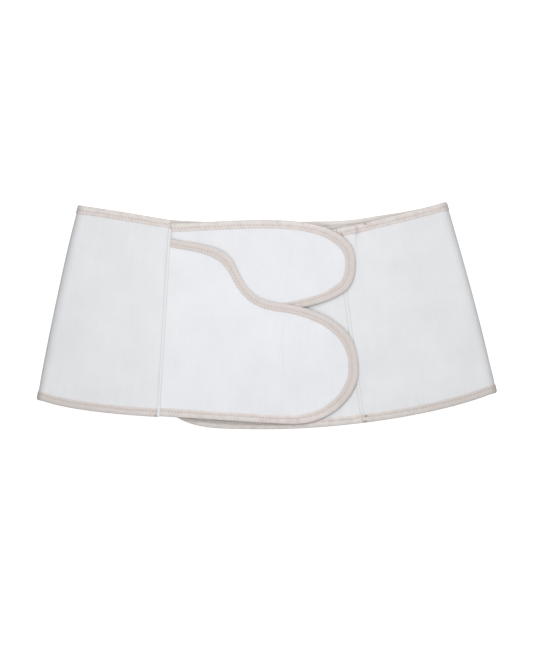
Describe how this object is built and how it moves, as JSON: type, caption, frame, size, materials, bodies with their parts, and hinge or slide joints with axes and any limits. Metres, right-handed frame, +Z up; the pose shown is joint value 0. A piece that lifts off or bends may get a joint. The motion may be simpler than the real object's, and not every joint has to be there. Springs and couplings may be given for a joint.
{
  "type": "postpartum belly wrap",
  "caption": "White elastic belly wrap closed into a loop and lying flat, with overlapping round-ended front flaps and beige bound edges.",
  "frame": {"origin": "on the floor under the middle of the wrap's outline", "axes": "+X along the wrap's width to the picture's right, +Y towards the waist edge, +Z up from the floor through the front flaps"},
  "size_m": [0.5076, 0.2498, 0.0259],
  "materials": {
    "elastic_cloth": "fine white elastic knit, matte",
    "binding_tape": "pinkish beige fold-over tape with a stitched row",
    "seam_tape": "narrow white tape, matte",
    "hook_tape": "white hook fastening tape"
  },
  "bodies": {
    "root": {"band": "elastic_cloth", "band_top_binding": "binding_tape", "band_bottom_binding": "binding_tape", "under_panel": "elastic_cloth", "under_panel_binding": "binding_tape", "upper_flap": "elastic_cloth", "upper_flap_binding": "binding_tape", "lower_flap": "elastic_cloth", "lower_flap_binding": "binding_tape", "left_seam_tape": "seam_tape", "right_seam_tape": "seam_tape", "upper_hook_patch": "hook_tape", "lower_hook_patch": "hook_tape"}
  },
  "joints": []
}
